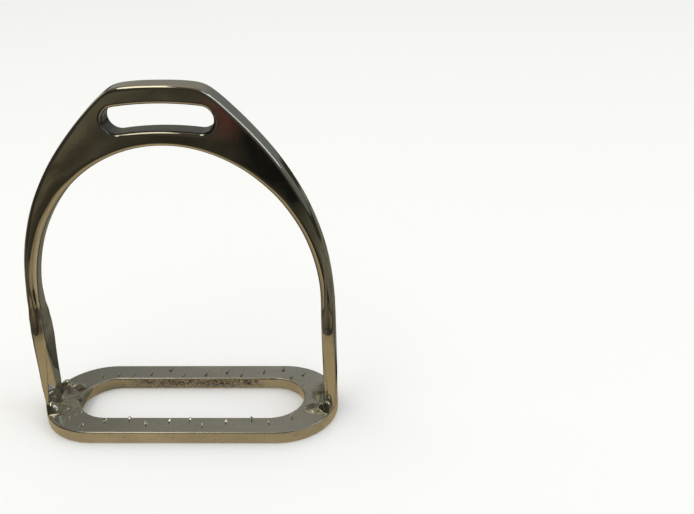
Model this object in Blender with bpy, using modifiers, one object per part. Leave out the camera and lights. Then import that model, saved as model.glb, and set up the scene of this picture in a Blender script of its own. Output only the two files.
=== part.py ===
"""A plain fillis-style stirrup iron: a forged bow welded to a flat ring tread.

X runs along the tread, Y from the front face to the rear face, +Z is up. The origin is the centre
of the tread's underside, the face that the iron stands on. All lengths are in metres.
"""
import math

import bmesh
import bpy
from mathutils import Vector

# Driving dimensions
INSIDE_WIDTH = 0.1206          # between the legs, a 4 3/4 inch iron
LEG_THICKNESS = 0.0059         # of a leg, seen from the front
TOTAL_HEIGHT = 0.1514
TREAD_THICKNESS = 0.0056
TREAD_DEPTH = 0.0522
OPENING_LENGTH = 0.1020
OPENING_DEPTH = 0.0303
TREAD_EDGE_RADIUS = 0.0006
SPRING_HEIGHT = 0.0565         # where the straight legs become the half-elliptical arch
ARCH_HEIGHT = 0.1273           # inside top of the arch
EYE_LENGTH = 0.0436            # slot for the stirrup leather
EYE_HEIGHT = 0.0108
EYE_CENTRE = 0.1388
EYE_ARC_RADIUS = 0.120         # the slot is slightly arched, like the top of the bow
EYE_RIM_RADIUS = 0.0012
WELD_GAP = 0.0003              # clearance between pieces that touch

# Derived sizes
INNER_X = INSIDE_WIDTH / 2
OUTER_X = INNER_X + LEG_THICKNESS
FOOT_HEIGHT = TREAD_THICKNESS + WELD_GAP
PLATE_HALF_DEPTH = 0.0052

# Outer outline of the right half of the bow, as Bezier pieces: start, handle, handle, end.
# They run from the middle of the top, round the corner, down the shoulder to the leg.
OUTER_PIECES = [
    [(0.0, TOTAL_HEIGHT), (0.0056, TOTAL_HEIGHT), (0.0075, 0.1513), (0.0114, 0.1510)],
    [(0.0114, 0.1510), (0.0178, 0.1503), (0.0194, 0.1499), (0.0271, 0.1422)],
    [(0.0271, 0.1422), (0.0528, 0.1165), (OUTER_X, 0.0902), (OUTER_X, 0.0530)],
]

# How the bow's section changes from the top down to the foot. Each row holds the place, the half
# depth, and the corner rounding across the width and through the depth. A place above zero is an
# angle in degrees about the arch's centre; below zero it is millimetres down the straight leg.
SECTION_TABLE = [
    (90, 0.0052, 0.0012, 0.0012),
    (68, 0.0052, 0.0016, 0.0014),
    (55, 0.0050, 0.0028, 0.0026),
    (40, 0.0046, 0.0030, 0.0032),
    (20, 0.0043, 0.0028, 0.0033),
    (0, 0.0043, 0.0027, 0.0032),
    (-6, 0.0046, 0.0025, 0.0030),
    (-15, 0.0061, 0.0014, 0.0018),
    (-38, 0.0062, 0.0010, 0.0010),
    (-44, 0.0068, 0.0010, 0.0010),
    (-51, 0.0088, 0.0010, 0.0010),
]

ARCH_STEP_DEGREES = 3.0
LEG_STEP_MM = 3.6
CORNER_SEGMENTS = 3
CURVE_SAMPLES = 40

# Weld beads: place along the foot's rim, reach over the tread and rise up the leg, in metres.
# The rim runs from the front edge (0), along the inner face (1 to 2), to the rear edge (3).
LEFT_BEAD = [
    (0.25, 0.0022, 0.0022),
    (0.8, 0.0044, 0.0042),
    (1.15, 0.0062, 0.0040),
    (1.5, 0.0034, 0.0030),
    (1.85, 0.0042, 0.0034),
    (2.2, 0.0034, 0.0030),
    (2.7, 0.0018, 0.0018),
]
RIGHT_BEAD = [
    (0.25, 0.0020, 0.0024),
    (0.8, 0.0034, 0.0046),
    (1.15, 0.0040, 0.0042),
    (1.5, 0.0026, 0.0026),
    (1.85, 0.0032, 0.0028),
    (2.2, 0.0028, 0.0026),
    (2.7, 0.0016, 0.0016),
]


def clear_scene():
    for old in list(bpy.data.objects):
        bpy.data.objects.remove(old, do_unlink=True)


def new_collection(name):
    collection = bpy.data.collections.new(name)
    bpy.context.scene.collection.children.link(collection)
    return collection


def metal(name, colour, roughness):
    material = bpy.data.materials.new(name)
    material.use_nodes = True
    shader = material.node_tree.nodes["Principled BSDF"]
    shader.inputs["Base Color"].default_value = (*colour, 1.0)
    shader.inputs["Metallic"].default_value = 1.0
    shader.inputs["Roughness"].default_value = roughness
    return material


def lerp(low, high, share):
    return low + (high - low) * share


def read_table(table, place):
    """Values of a table at a place between its rows, blended smoothly."""
    rows = sorted(table)
    if place <= rows[0][0]:
        return rows[0][1:]
    for low, high in zip(rows, rows[1:]):
        if place <= high[0]:
            share = (place - low[0]) / (high[0] - low[0])
            share = share * share * (3 - 2 * share)
            return tuple(lerp(a, b, share) for a, b in zip(low[1:], high[1:]))
    return rows[-1][1:]


def loft(name, rings, material, collection):
    """A closed body through rings that all have the same number of points."""
    mesh_builder = bmesh.new()
    loops = [[mesh_builder.verts.new(point) for point in ring] for ring in rings]
    count = len(rings[0])
    for first, second in zip(loops, loops[1:]):
        for i in range(count):
            j = (i + 1) % count
            mesh_builder.faces.new((first[i], first[j], second[j], second[i]))
    mesh_builder.faces.new(loops[0])
    mesh_builder.faces.new(loops[-1])
    bmesh.ops.recalc_face_normals(mesh_builder, faces=mesh_builder.faces)
    mesh = bpy.data.meshes.new(name)
    mesh_builder.to_mesh(mesh)
    mesh_builder.free()
    body = bpy.data.objects.new(name, mesh)
    if material:
        mesh.materials.append(material)
    collection.objects.link(body)
    return body


def shade(body, degrees):
    body.data.shade_smooth()
    body.data.set_sharp_from_angle(angle=math.radians(degrees))


def bezier(points, share):
    a, b, c, d = (Vector(point) for point in points)
    rest = 1 - share
    return a * rest ** 3 + b * 3 * rest ** 2 * share + c * 3 * rest * share ** 2 + d * share ** 3


def outer_samples():
    """Angle about the arch's centre and distance from it, along the outer outline."""
    samples = []
    for piece in OUTER_PIECES:
        for i in range(CURVE_SAMPLES + 1):
            point = bezier(piece, i / CURVE_SAMPLES)
            rise = point.y - SPRING_HEIGHT
            samples.append((math.atan2(rise, point.x), math.hypot(rise, point.x)))
    return sorted(samples)


def outer_radius(samples, angle):
    for low, high in zip(samples, samples[1:]):
        if low[0] <= angle <= high[0] and high[0] > low[0]:
            return lerp(low[1], high[1], (angle - low[0]) / (high[0] - low[0]))
    return samples[-1][1]


def inner_radius(angle):
    """Distance from the arch's centre to its inner, half-elliptical line."""
    rise = ARCH_HEIGHT - SPRING_HEIGHT
    return 1 / math.hypot(math.cos(angle) / INNER_X, math.sin(angle) / rise)


def rounded_section(width, half_depth, round_width, round_depth):
    """Points (across, through) of a rectangle with rounded corners, in order."""
    corners = [
        (width - round_width, half_depth - round_depth, 0),
        (round_width, half_depth - round_depth, 90),
        (round_width, round_depth - half_depth, 180),
        (width - round_width, round_depth - half_depth, 270),
    ]
    points = []
    for across, through, start in corners:
        for i in range(CORNER_SEGMENTS + 1):
            angle = math.radians(start + 90 * i / CORNER_SEGMENTS)
            points.append((across + round_width * math.cos(angle), through + round_depth * math.sin(angle)))
    return points


def bow_ring(inner, outward, width, place):
    """One section of the right half of the bow, standing on its inner line."""
    half_depth, round_width, round_depth = read_table(SECTION_TABLE, place)
    section = rounded_section(width, half_depth, round_width, round_depth)
    ring = []
    for across, through in section:
        ring.append((inner[0] + outward[0] * across, through, inner[1] + outward[1] * across))
    return ring


def bow_half():
    """Rings of the right half of the bow, from the middle of the top to the foot."""
    samples = outer_samples()
    rings = []
    steps = round(90 / ARCH_STEP_DEGREES)
    for i in range(steps):
        degrees = 90 - i * ARCH_STEP_DEGREES
        angle = math.radians(degrees)
        outward = (math.cos(angle), math.sin(angle))
        near = inner_radius(angle)
        inner = (near * outward[0], SPRING_HEIGHT + near * outward[1])
        rings.append(bow_ring(inner, outward, outer_radius(samples, angle) - near, degrees))
    drop = SPRING_HEIGHT - FOOT_HEIGHT
    count = round(drop * 1000 / LEG_STEP_MM)
    for i in range(count + 1):
        down = drop * i / count
        inner = (INNER_X, SPRING_HEIGHT - down)
        rings.append(bow_ring(inner, (1.0, 0.0), LEG_THICKNESS, -down * 1000))
    return rings


def mirrored(ring):
    return [(-x, y, z) for x, y, z in ring]


def eye_outline(grow):
    """The slot's outline, an arched stadium, made larger all round by grow."""
    half_height = EYE_HEIGHT / 2 + grow
    half_angle = (EYE_LENGTH - EYE_HEIGHT) / 2 / EYE_ARC_RADIUS
    centre = EYE_CENTRE - EYE_ARC_RADIUS
    across = 8
    around = 8
    points = []
    for i in range(across):
        angle = lerp(-half_angle, half_angle, i / across)
        radius = EYE_ARC_RADIUS + half_height
        points.append((radius * math.sin(angle), centre + radius * math.cos(angle)))
    for i in range(around):
        angle = half_angle + math.pi * i / around
        x = EYE_ARC_RADIUS * math.sin(half_angle) + half_height * math.sin(angle)
        z = centre + EYE_ARC_RADIUS * math.cos(half_angle) + half_height * math.cos(angle)
        points.append((x, z))
    for i in range(across):
        angle = lerp(half_angle, -half_angle, i / across)
        radius = EYE_ARC_RADIUS - half_height
        points.append((radius * math.sin(angle), centre + radius * math.cos(angle)))
    for i in range(around):
        angle = math.pi - half_angle + math.pi * i / around
        x = -EYE_ARC_RADIUS * math.sin(half_angle) + half_height * math.sin(angle)
        z = centre + EYE_ARC_RADIUS * math.cos(half_angle) + half_height * math.cos(angle)
        points.append((x, z))
    return points


def eye_cutter(collection):
    """A waisted plug whose flared ends leave the slot's rims rounded."""
    levels = [(-PLATE_HALF_DEPTH - 0.002, EYE_RIM_RADIUS)]
    for degrees in (0, 30, 60, 90):
        angle = math.radians(degrees)
        depth = PLATE_HALF_DEPTH - EYE_RIM_RADIUS * (1 - math.cos(angle))
        levels.append((-depth, EYE_RIM_RADIUS * (1 - math.sin(angle))))
    levels += [(-y, grow) for y, grow in reversed(levels)]
    rings = [[(x, y, z) for x, z in eye_outline(grow)] for y, grow in levels]
    cutter = loft("eye_cutter", rings, None, collection)
    cutter.hide_render = True
    cutter.display_type = "WIRE"
    return cutter


def make_bow(parts, cutters):
    half = bow_half()
    rings = [mirrored(ring) for ring in reversed(half[1:])] + half
    steel = metal("bow_polished_steel", (0.42, 0.40, 0.35), 0.16)
    bow = loft("bow", rings, steel, parts)
    cut = bow.modifiers.new("eye", "BOOLEAN")
    cut.operation = "DIFFERENCE"
    cut.solver = "EXACT"
    cut.object = eye_cutter(cutters)
    shade(bow, 50)
    return bow


def stadium(curve, length, depth, segments):
    """Adds a closed outline with straight sides and semicircular ends to a 2D curve."""
    radius = depth / 2
    reach = length / 2 - radius
    points = []
    for side in (1, -1):
        for i in range(segments + 1):
            angle = math.pi * (i / segments - 0.5)
            points.append((side * (reach + radius * math.cos(angle)), side * radius * math.sin(angle)))
    spline = curve.splines.new("POLY")
    spline.points.add(len(points) - 1)
    for target, (x, y) in zip(spline.points, points):
        target.co = (x, y, 0, 1)
    spline.use_cyclic_u = True


def make_tread(parts):
    """A flat plate ring, lying on z = 0."""
    curve = bpy.data.curves.new("tread_outline", "CURVE")
    curve.dimensions = "2D"
    curve.fill_mode = "BOTH"
    curve.extrude = TREAD_THICKNESS / 2
    stadium(curve, 2 * OUTER_X, TREAD_DEPTH, 24)
    stadium(curve, OPENING_LENGTH, OPENING_DEPTH, 20)
    outline = bpy.data.objects.new("tread_outline", curve)
    outline.location.z = TREAD_THICKNESS / 2
    parts.objects.link(outline)
    bpy.context.view_layer.update()
    graph = bpy.context.evaluated_depsgraph_get()
    mesh = bpy.data.meshes.new_from_object(outline.evaluated_get(graph))
    welded = bmesh.new()
    welded.from_mesh(mesh)
    bmesh.ops.remove_doubles(welded, verts=welded.verts, dist=0.00001)
    welded.to_mesh(mesh)
    welded.free()
    tread = bpy.data.objects.new("tread", mesh)
    tread.matrix_world = outline.matrix_world
    parts.objects.link(tread)
    bpy.data.objects.remove(outline, do_unlink=True)
    mesh.materials.clear()
    mesh.materials.append(metal("tread_satin_steel", (0.40, 0.39, 0.35), 0.38))
    bevel = tread.modifiers.new("broken_edges", "BEVEL")
    bevel.width = TREAD_EDGE_RADIUS
    bevel.segments = 2
    bevel.limit_method = "ANGLE"
    bevel.angle_limit = math.radians(60)
    shade(tread, 40)
    return tread


def foot_rim(place):
    """Point and outward direction in plan on the right foot's rim, at 0 to 3 along it.

    0 is on the front edge, 1 the front inner corner, 2 the rear inner corner, 3 on the rear edge.
    """
    half_depth = read_table(SECTION_TABLE, -51)[0]
    across = 0.0030
    turn = 0.5
    side = 1 if place < 1.5 else -1
    local = place if place < 1.5 else 3 - place
    corner = min(max((local - (1 - turn / 2)) / turn, 0), 1)
    angle = math.radians(lerp(270, 180, corner))
    normal = (math.cos(angle), side * math.sin(angle))
    if local < 1 - turn / 2:
        x = INNER_X + across * (1 - local / (1 - turn / 2))
        return (x, -side * half_depth), normal
    if local < 1 + turn / 2:
        return (INNER_X, -side * half_depth), normal
    along = (local - (1 + turn / 2)) / (0.5 - turn / 2)
    return (INNER_X, -side * half_depth * (1 - along)), normal


def bead_ring(place, reach, rise):
    """A fillet section standing in the corner between the leg and the tread."""
    (x, y), normal = foot_rim(place)
    ring = [(x + normal[0] * WELD_GAP, y + normal[1] * WELD_GAP, FOOT_HEIGHT)]
    arc_points = 6
    for i in range(arc_points + 1):
        angle = math.radians(90 * i / arc_points)
        out = WELD_GAP + reach * math.cos(angle) ** 1.25
        up = rise * math.sin(angle) ** 1.25
        ring.append((x + normal[0] * out, y + normal[1] * out, FOOT_HEIGHT + up))
    return ring


def make_bead(name, side, table, material, parts):
    steps = 26
    first = table[0][0]
    last = table[-1][0]
    rings = []
    for i in range(steps + 1):
        place = lerp(first, last, i / steps)
        reach, rise = read_table(table, place)
        ring = bead_ring(place, reach, rise)
        rings.append(ring if side > 0 else mirrored(ring))
    bead = loft(name, rings, material, parts)
    shade(bead, 60)
    return bead


def main():
    clear_scene()
    parts = new_collection("stirrup_iron")
    cutters = new_collection("cutters")
    make_bow(parts, cutters)
    make_tread(parts)
    weld = metal("weld_steel", (0.36, 0.35, 0.31), 0.32)
    make_bead("left_weld_bead", -1, LEFT_BEAD, weld, parts)
    make_bead("right_weld_bead", 1, RIGHT_BEAD, weld, parts)


main()
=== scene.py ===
"""Looks of a plain stirrup iron: a polished forged bow, a satin ring tread and its two welds.

Lengths inside the shape functions are in millimetres; make_mesh turns them into metres.
"""
import math

import bmesh
import bpy
import numpy as np
from mathutils import Matrix, Vector, noise


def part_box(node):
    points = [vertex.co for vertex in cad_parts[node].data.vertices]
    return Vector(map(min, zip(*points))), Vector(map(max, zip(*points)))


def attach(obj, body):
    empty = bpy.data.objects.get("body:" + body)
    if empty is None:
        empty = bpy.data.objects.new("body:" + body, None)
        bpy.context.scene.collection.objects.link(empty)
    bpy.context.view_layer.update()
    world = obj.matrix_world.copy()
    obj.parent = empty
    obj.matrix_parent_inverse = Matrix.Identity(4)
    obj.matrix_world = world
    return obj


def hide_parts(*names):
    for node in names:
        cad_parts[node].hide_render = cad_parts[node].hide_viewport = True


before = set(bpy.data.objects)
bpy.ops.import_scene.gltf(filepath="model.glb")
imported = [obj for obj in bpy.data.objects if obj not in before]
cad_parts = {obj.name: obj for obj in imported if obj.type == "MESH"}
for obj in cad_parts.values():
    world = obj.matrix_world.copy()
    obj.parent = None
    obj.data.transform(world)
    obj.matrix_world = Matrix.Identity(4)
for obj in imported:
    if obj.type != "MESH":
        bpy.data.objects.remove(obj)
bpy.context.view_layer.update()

MM = 0.001


def box_mm(node):
    low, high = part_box(node)
    return np.array(low) / MM, np.array(high) / MM


BOW_LOW, BOW_HIGH = box_mm("bow")
TREAD_LOW, TREAD_HIGH = box_mm("tread")

# ---------------------------------------------------------------- the bow's front view
OUTER_X = float(BOW_HIGH[0])
TOP_Z = float(BOW_HIGH[2])
TREAD_TOP = float(TREAD_HIGH[2])
LEG_WIDTH = 5.9
INNER_X = OUTER_X - LEG_WIDTH
SPRING_Z = 56.5                # the straight legs end and the half-elliptical arch begins
ARCH_Z = 127.3
FOOT_SINK = 0.15               # how far the leg reaches into the tread, where the weld fused them
EYE_LENGTH = 43.6
EYE_HEIGHT = 10.8
EYE_CENTRE = 138.8
EYE_ARC = 120.0
EYE_RIM = 1.5

OUTER_PIECES = [
    [(0.0, TOP_Z), (5.6, TOP_Z), (7.5, TOP_Z - 0.1), (11.4, TOP_Z - 0.4)],
    [(11.4, TOP_Z - 0.4), (17.8, TOP_Z - 1.1), (19.4, TOP_Z - 1.5), (27.1, TOP_Z - 9.2)],
    [(27.1, TOP_Z - 9.2), (52.8, TOP_Z - 34.9), (OUTER_X, 90.2), (OUTER_X, 53.0)],
]

# place: degrees about the arch's centre, or below zero millimetres down the leg.
# half depth, rounding across at the inner edge of the left and right side and at the outer
# edge, rounding through, crown of the face
SECTIONS = [
    (90, 5.2, 1.7, 1.7, 1.0, 1.4, 0.05),
    (72, 5.2, 1.8, 1.8, 1.1, 1.4, 0.08),
    (58, 5.1, 2.2, 2.2, 1.3, 1.7, 0.12),
    (44, 4.8, 2.8, 2.8, 1.7, 2.3, 0.18),
    (28, 4.5, 2.9, 2.9, 2.4, 2.9, 0.16),
    (8, 4.38, 2.85, 2.85, 2.7, 3.1, 0.12),
    (-1, 4.7, 2.5, 2.5, 2.7, 2.6, 0.08),
    (-8, 5.55, 1.3, 1.5, 2.2, 1.6, 0.04),
    (-14, 6.05, 0.9, 1.0, 2.0, 1.3, 0.03),
    (-22, 6.2, 0.9, 0.9, 1.9, 1.3, 0.02),
    (-32, 6.2, 0.9, 0.9, 1.9, 1.5, 0.02),
    (-45, 6.8, 0.8, 0.8, 2.2, 1.9, 0.02),
    (-52, 7.4, 0.8, 0.8, 2.4, 2.1, 0.0),
]


def make_mesh(name, points, faces, smooth_angle=None):
    """An object from points in millimetres; coincident points are welded."""
    mesh = bpy.data.meshes.new(name)
    mesh.from_pydata((np.asarray(points) * MM).tolist(), [], faces)
    welded = bmesh.new()
    welded.from_mesh(mesh)
    bmesh.ops.remove_doubles(welded, verts=welded.verts, dist=1e-7)
    bmesh.ops.dissolve_degenerate(welded, edges=welded.edges, dist=1e-8)
    bmesh.ops.recalc_face_normals(welded, faces=welded.faces)
    welded.to_mesh(mesh)
    welded.free()
    mesh.shade_smooth()
    if smooth_angle:
        mesh.set_sharp_from_angle(angle=math.radians(smooth_angle))
    piece = bpy.data.objects.new(name, mesh)
    bpy.context.scene.collection.objects.link(piece)
    return piece


def grid_faces(start, rows, columns, closed=False):
    """Quads of a grid of points stored row by row; closed joins the last column to the first."""
    faces = []
    for r in range(rows - 1):
        for c in range(columns if closed else columns - 1):
            d = (c + 1) % columns
            a = start + r * columns
            b = a + columns
            faces.append((a + c, a + d, b + d, b + c))
    return faces


def border_pairs(rows, columns):
    """Pairs of neighbours once round the border of a grid stored row by row."""
    border = list(range(columns))
    border += [r * columns + columns - 1 for r in range(1, rows)]
    border += [(rows - 1) * columns + c for c in range(columns - 2, -1, -1)]
    border += [r * columns for r in range(rows - 2, 0, -1)]
    return list(zip(border, border[1:] + border[:1]))


def smooth_table(table, place):
    """Columns of a table at each place, blended smoothly between its rows."""
    rows = np.array(sorted(table), float)
    place = np.clip(place, rows[0, 0], rows[-1, 0])
    index = np.clip(np.searchsorted(rows[:, 0], place) - 1, 0, len(rows) - 2)
    low = rows[index]
    high = rows[index + 1]
    share = (place - low[..., 0]) / (high[..., 0] - low[..., 0])
    share = share * share * (3 - 2 * share)
    return [low[..., k] + (high[..., k] - low[..., k]) * share for k in range(1, rows.shape[1])]


def bezier(points, count):
    share = np.linspace(0, 1, count)[:, None]
    rest = 1 - share
    a, b, c, d = (np.array(point) for point in points)
    return a * rest ** 3 + 3 * b * rest ** 2 * share + 3 * c * rest * share ** 2 + d * share ** 3


OUTER_LINE = np.vstack([bezier(piece, 160) for piece in OUTER_PIECES] + [[(OUTER_X, 0.0)]])
_angles = np.radians(np.linspace(90, 0, 361))
INNER_LINE = np.vstack([
    np.stack([INNER_X * np.cos(_angles), SPRING_Z + (ARCH_Z - SPRING_Z) * np.sin(_angles)], 1),
    [(INNER_X, 0.0)],
])


def distance_to_line(points, line):
    """Distance of each point to a polyline in the front view; left is mirrored to right."""
    p = np.array(points, float)
    p[:, 0] = np.abs(p[:, 0])
    best = np.full(len(p), 1e9)
    for start, end in zip(line, line[1:]):
        step = end - start
        length = float(step @ step)
        if length < 1e-12:
            continue
        share = np.clip(((p - start) @ step) / length, 0, 1)
        gap = np.hypot(*(p - start - share[:, None] * step).T)
        best = np.minimum(best, gap)
    return best


def distance_to_eye(points):
    """Distance from the slot's edge, outside it."""
    x, z = np.abs(points[:, 0]), points[:, 1] - (EYE_CENTRE - EYE_ARC)
    half = (EYE_LENGTH - EYE_HEIGHT) / 2 / EYE_ARC
    angle = np.clip(np.arctan2(x, z), 0, half)
    return np.hypot(x - EYE_ARC * np.sin(angle), z - EYE_ARC * np.cos(angle)) - EYE_HEIGHT / 2


def rounding(distance, across, through):
    """How far an elliptical rounding lowers the face at a distance from its edge."""
    share = 1 - np.clip(distance / across, 0, 1)
    return through * (1 - np.sqrt(np.clip(1 - share * share, 0, 1)))


def places(points):
    """Degrees about the arch's centre above the spring line, minus millimetres below it."""
    x, rise = np.abs(points[:, 0]), points[:, 1] - SPRING_Z
    return np.where(rise > 0, np.degrees(np.arctan2(rise, x)), rise)


# The thumb-shaped scoop ground where each oval arch side runs out on its flat leg. Its floor
# starts below in a steep lip and levels out upwards; its sides curve up to the leg's face.
SCOOP_LOW = 41.6
SCOOP_HIGH = 60.0
SCOOP_FLOOR_LOW = 5.45         # half depth of its floor at the lower and upper end
SCOOP_FLOOR_HIGH = 4.2
SCOOP_FLOOR_RUN = 0.33         # share of its length in which the floor levels out
SCOOP_LIP = 1.5
SCOOP_LIP_REACH = 1.3
SCOOP_HALF_WIDTH = {-1: 1.9, 1: 3.0}
SCOOP_CENTRE = {-1: 3.3, 1: 2.9}         # from the inner face of the leg
SCOOP_SIDE_RISE = 1.2
SCOOP_EDGE = 0.07              # softness of the edge where the scoop meets the leg's face


def scoop_depth(points):
    """Half depth of the scoop's surface; far outside the scoop it lies clear of the leg."""
    x, z = points[:, 0], points[:, 1]
    along = (z - SCOOP_LOW) / (SCOOP_HIGH - SCOOP_LOW)
    fall = np.exp(-np.clip(along, -0.2, None) / SCOOP_FLOOR_RUN)
    floor = SCOOP_FLOOR_HIGH + (SCOOP_FLOOR_LOW - SCOOP_FLOOR_HIGH) * fall
    floor = floor + SCOOP_LIP * np.exp(-np.clip(z - SCOOP_LOW, -2, 40) / SCOOP_LIP_REACH)
    widen = 0.75 + 0.25 * np.clip(along / 0.4, 0, 1) - 0.65 * np.clip(along - 0.45, 0, 0.7)
    depth = np.full(len(x), 99.0)
    for side in (-1, 1):
        across = (np.abs(x) - INNER_X - SCOOP_CENTRE[side]) / (SCOOP_HALF_WIDTH[side] * widen)
        sides = SCOOP_SIDE_RISE * across ** 2
        depth = np.where((np.sign(x) == side) & (z < 80), floor + sides, depth)
    return depth


TREAD_TURN = float(TREAD_HIGH[1])        # radius of the tread's round ends
GROUND_TO = 30.0                         # the foot's corners are ground to the tread up to here


def foot_limit(points):
    """Half depth left at the foot, where its outer corners follow the tread's round end."""
    across = np.abs(points[:, 0]) - (float(TREAD_HIGH[0]) - TREAD_TURN)
    outline = np.sqrt(np.clip(TREAD_TURN ** 2 - across ** 2, 0, None))
    rise = np.clip((points[:, 1] - TREAD_TOP - 2.0) / (GROUND_TO - TREAD_TOP), 0, None)
    return outline + 14.0 * rise ** 1.4


FACET_TOP = 38.0               # each leg's inner edges carry a ground facet that widens downwards
FACET_RUN = 28.0
FACET_WIDTH = {-1: 3.3, 1: 2.0}
FACET_SLOPE = 1.1


def facet(points, to_inner):
    """How deep the ground facet on the inner edges cuts."""
    grow = np.clip((FACET_TOP - points[:, 1]) / FACET_RUN, 0, 1) ** 0.8
    width = grow * np.where(points[:, 0] < 0, FACET_WIDTH[-1], FACET_WIDTH[1])
    return FACET_SLOPE * np.clip(width - to_inner, 0, None)


def half_depths(points):
    """Half the bow's depth at points of its front view."""
    points = np.asarray(points, float)
    place = places(points)
    depth, inner_left, inner_right, outer, through, crown = smooth_table(SECTIONS, place)
    inner = np.where(points[:, 0] < 0, inner_left, inner_right)
    to_inner = distance_to_line(points, INNER_LINE)
    to_outer = distance_to_line(points, OUTER_LINE)
    width = to_inner + to_outer
    middle = 4 * to_inner * to_outer / np.maximum(width, 1e-6) ** 2
    result = depth + crown * (middle - 1) - facet(points, to_inner)
    result -= rounding(to_inner, np.minimum(inner, width * 0.5), through)
    result -= rounding(to_outer, np.minimum(outer, width * 0.5), through)
    result -= rounding(np.maximum(distance_to_eye(points), 0), EYE_RIM, EYE_RIM)
    scoop = scoop_depth(points)
    apart = np.abs(result - scoop)
    soft = SCOOP_EDGE * np.exp(-apart / SCOOP_EDGE)
    return np.minimum(np.minimum(result, scoop) - soft, foot_limit(points))


# ---------------------------------------------------------------- the bow's mesh
ROUND_ROWS = 8
FACE_ROWS = 16
EYE_ROWS = 7
WALL_ROWS = 4
JOIN_DEGREES = 68.0            # where the grid round the eye meets the grids of the two sides
SIDE_STEP = 0.9
LEG_STEP = 0.45


def edge_shares(near_size, far_size, length):
    """Shares across a strip, close together in both rounded edges."""
    turns = np.linspace(0, math.pi / 2, ROUND_ROWS + 1)
    near = near_size * (1 - np.cos(turns)) / length
    far = 1 - far_size * (1 - np.cos(turns)) / length
    face = np.linspace(near[-1], far[-1], FACE_ROWS + 1)[1:-1]
    return np.concatenate([near, face, far[::-1]])


def crossing(line, angle):
    """Where a ray from the arch's centre crosses a line of the front view."""
    rise = line[:, 1] - SPRING_Z
    turn = np.arctan2(rise, line[:, 0])
    order = np.argsort(turn)
    radius = np.interp(angle, turn[order], np.hypot(line[:, 0], rise)[order])
    return np.array([radius * math.cos(angle), SPRING_Z + radius * math.sin(angle)])


def strip(inner, outer, place):
    """Points across the bow from its inner to its outer line."""
    _, near, _, far, _, _ = smooth_table(SECTIONS, np.array(place))
    length = float(np.hypot(*(outer - inner)))
    near = min(float(near), length * 0.5)
    far = min(float(far), length * 0.5)
    shares = edge_shares(near, far, length)
    return inner + shares[:, None] * (outer - inner)


def side_strips():
    """Strips of the right side, from the join beside the eye down to the foot."""
    strips = []
    count = round(JOIN_DEGREES / SIDE_STEP)
    for i in range(count):
        degrees = JOIN_DEGREES * (1 - i / count)
        angle = math.radians(degrees)
        strips.append(strip(crossing(INNER_LINE, angle), crossing(OUTER_LINE, angle), degrees))
    low = TREAD_TOP - FOOT_SINK
    count = round((SPRING_Z - low) / LEG_STEP)
    for i in range(count + 1):
        z = SPRING_Z + (low - SPRING_Z) * i / count
        strips.append(strip(np.array([INNER_X, z]), np.array([OUTER_X, z]), z - SPRING_Z))
    return np.array(strips)


def resample(line, count, start=0.0, end=1.0):
    """Evenly spaced points on part of a polyline."""
    steps = np.hypot(*np.diff(line, axis=0).T)
    length = np.concatenate([[0], np.cumsum(steps)])
    at = np.linspace(start, end, count + 1) * length[-1]
    return np.stack([np.interp(at, length, line[:, k]) for k in (0, 1)], 1)


def cut_line(line, x_from, x_to, join):
    """The stretch of a line between two x positions, or up to the join point."""
    keep = line[(line[:, 0] > x_from) & (line[:, 0] < x_to)]
    return keep if join is None else np.vstack([keep, join])


def eye_edge(turn):
    """Points and outward normals on the slot's round right end; turn 90 is up, -90 is down."""
    half = (EYE_LENGTH - EYE_HEIGHT) / 2 / EYE_ARC
    centre = np.array([EYE_ARC * math.sin(half), EYE_CENTRE - EYE_ARC + EYE_ARC * math.cos(half)])
    angle = np.radians(turn) - half
    normal = np.stack([np.cos(angle), np.sin(angle)], 1)
    return centre + EYE_HEIGHT / 2 * normal, normal


def eye_side(share, sign):
    """Points and outward normals on the slot's long edges, from its middle to its right end."""
    half = (EYE_LENGTH - EYE_HEIGHT) / 2 / EYE_ARC
    angle = share * half
    normal = np.stack([np.sin(angle), np.cos(angle)], 1)
    radius = EYE_ARC + sign * EYE_HEIGHT / 2
    return np.array([0, EYE_CENTRE - EYE_ARC]) + radius * normal, sign * normal


STRAIGHT_LINES = 24            # radial lines over half of the slot's long edge
UPPER_LINES = 24
LOWER_LINES = 14
PLATE_CORNER = 17.5            # outer line point that faces the slot's end, by x
ARCH_CORNER = 16.6


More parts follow.
